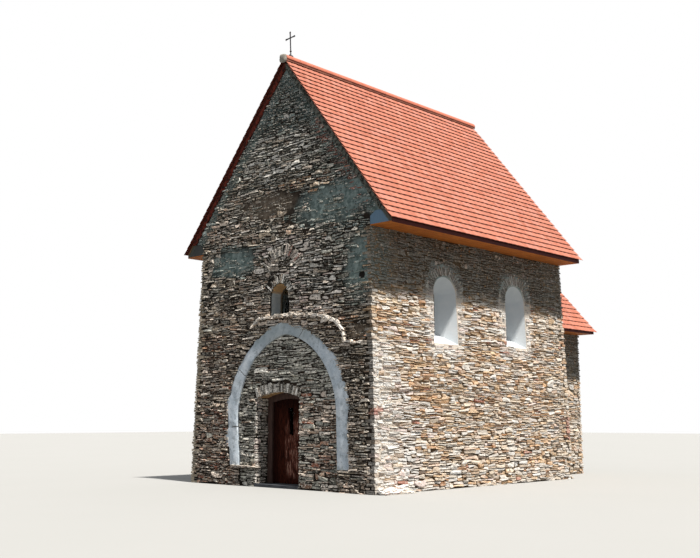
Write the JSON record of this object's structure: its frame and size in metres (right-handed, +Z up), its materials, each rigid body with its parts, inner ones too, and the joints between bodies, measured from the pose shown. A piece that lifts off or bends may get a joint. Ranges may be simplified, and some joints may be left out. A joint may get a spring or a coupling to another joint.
{
  "type": "small chapel",
  "caption": "Small rubble-stone chapel: steep tiled nave, low chancel, walled-up pointed portal with plank door, splayed round-headed windows, ridge cross.",
  "frame": {"origin": "under the middle of the building's bounding box, at the foot of its walls", "axes": "+Z up, -Y out of the front wall with the portal, +X to the right of someone facing the front"},
  "size_m": [6.48, 9.3561, 9.9503],
  "materials": {
    "front_rubble": "rough grey-brown thin rubble with pale mortar",
    "side_rubble": "rough ochre and tan thin rubble",
    "portal_stone": "smooth weathered blue-grey render",
    "threshold_stone": "worn slab",
    "floor_stone": "dull flags",
    "mortar": "coarse lime mortar",
    "roof_tile": "matt salmon-red clay",
    "roof_boards": "stained dark red",
    "carpentry": "sawn softwood",
    "soffit_wood": "orange-brown stain",
    "fascia_wood": "dark maroon stain",
    "end_board_wood": "weathered blue-grey",
    "door_frame_wood": "weathered brown",
    "door_wood": "worn dark red-brown paint",
    "sash_wood": "dark stain",
    "pane_glass": "clear",
    "iron": "dark wrought iron"
  },
  "bodies": {
    "building": {"front_wall_left": "front_rubble", "front_wall_right": "front_rubble", "front_gable": "front_rubble", "portal_arch": "portal_stone", "portal_infill_left": "front_rubble", "portal_infill_right": "front_rubble", "portal_infill_head": "front_rubble", "door_arch": "front_rubble", "threshold": "threshold_stone", "door_frame": "door_frame_wood", "hinge_pins": "iron", "nave_wall_left": "side_rubble", "nave_wall_right": "side_rubble", "back_wall_left": "side_rubble", "back_wall_right": "side_rubble", "back_gable": "side_rubble", "chancel_wall_left": "side_rubble", "chancel_wall_right": "side_rubble", "chancel_end_wall": "side_rubble", "nave_floor": "floor_stone", "chancel_floor": "floor_stone", "corner_footing": "side_rubble", "window_sashes": "sash_wood", "window_panes": "pane_glass", "wall_plates": "carpentry", "tie_beams": "carpentry", "rafters_left": "carpentry", "rafters_right": "carpentry", "collar_beams": "carpentry", "nave_boarding_left": "roof_boards", "nave_boarding_right": "roof_boards", "chancel_boarding_left": "roof_boards", "chancel_boarding_right": "roof_boards", "nave_tiles_left": "roof_tile", "nave_tiles_right": "roof_tile", "chancel_tiles_left": "roof_tile", "chancel_tiles_right": "roof_tile", "ridge_tiles": "roof_tile", "ridge_mortar": "mortar", "verge_mortar": "mortar", "soffit_boards": "soffit_wood", "fascia_boards": "fascia_wood", "eaves_end_boards": "end_board_wood", "ridge_cross": "iron"},
    "door": {"door_leaf": "door_wood", "door_ledges": "door_wood", "door_hinges": "iron"}
  },
  "joints": [
    {"name": "door_hinge", "type": "hinge", "parent": "building", "child": "door", "pos_m": [-0.545, -4.135, 0], "axis": [0, 0, 1], "range_deg": [0, 95]}
  ]
}
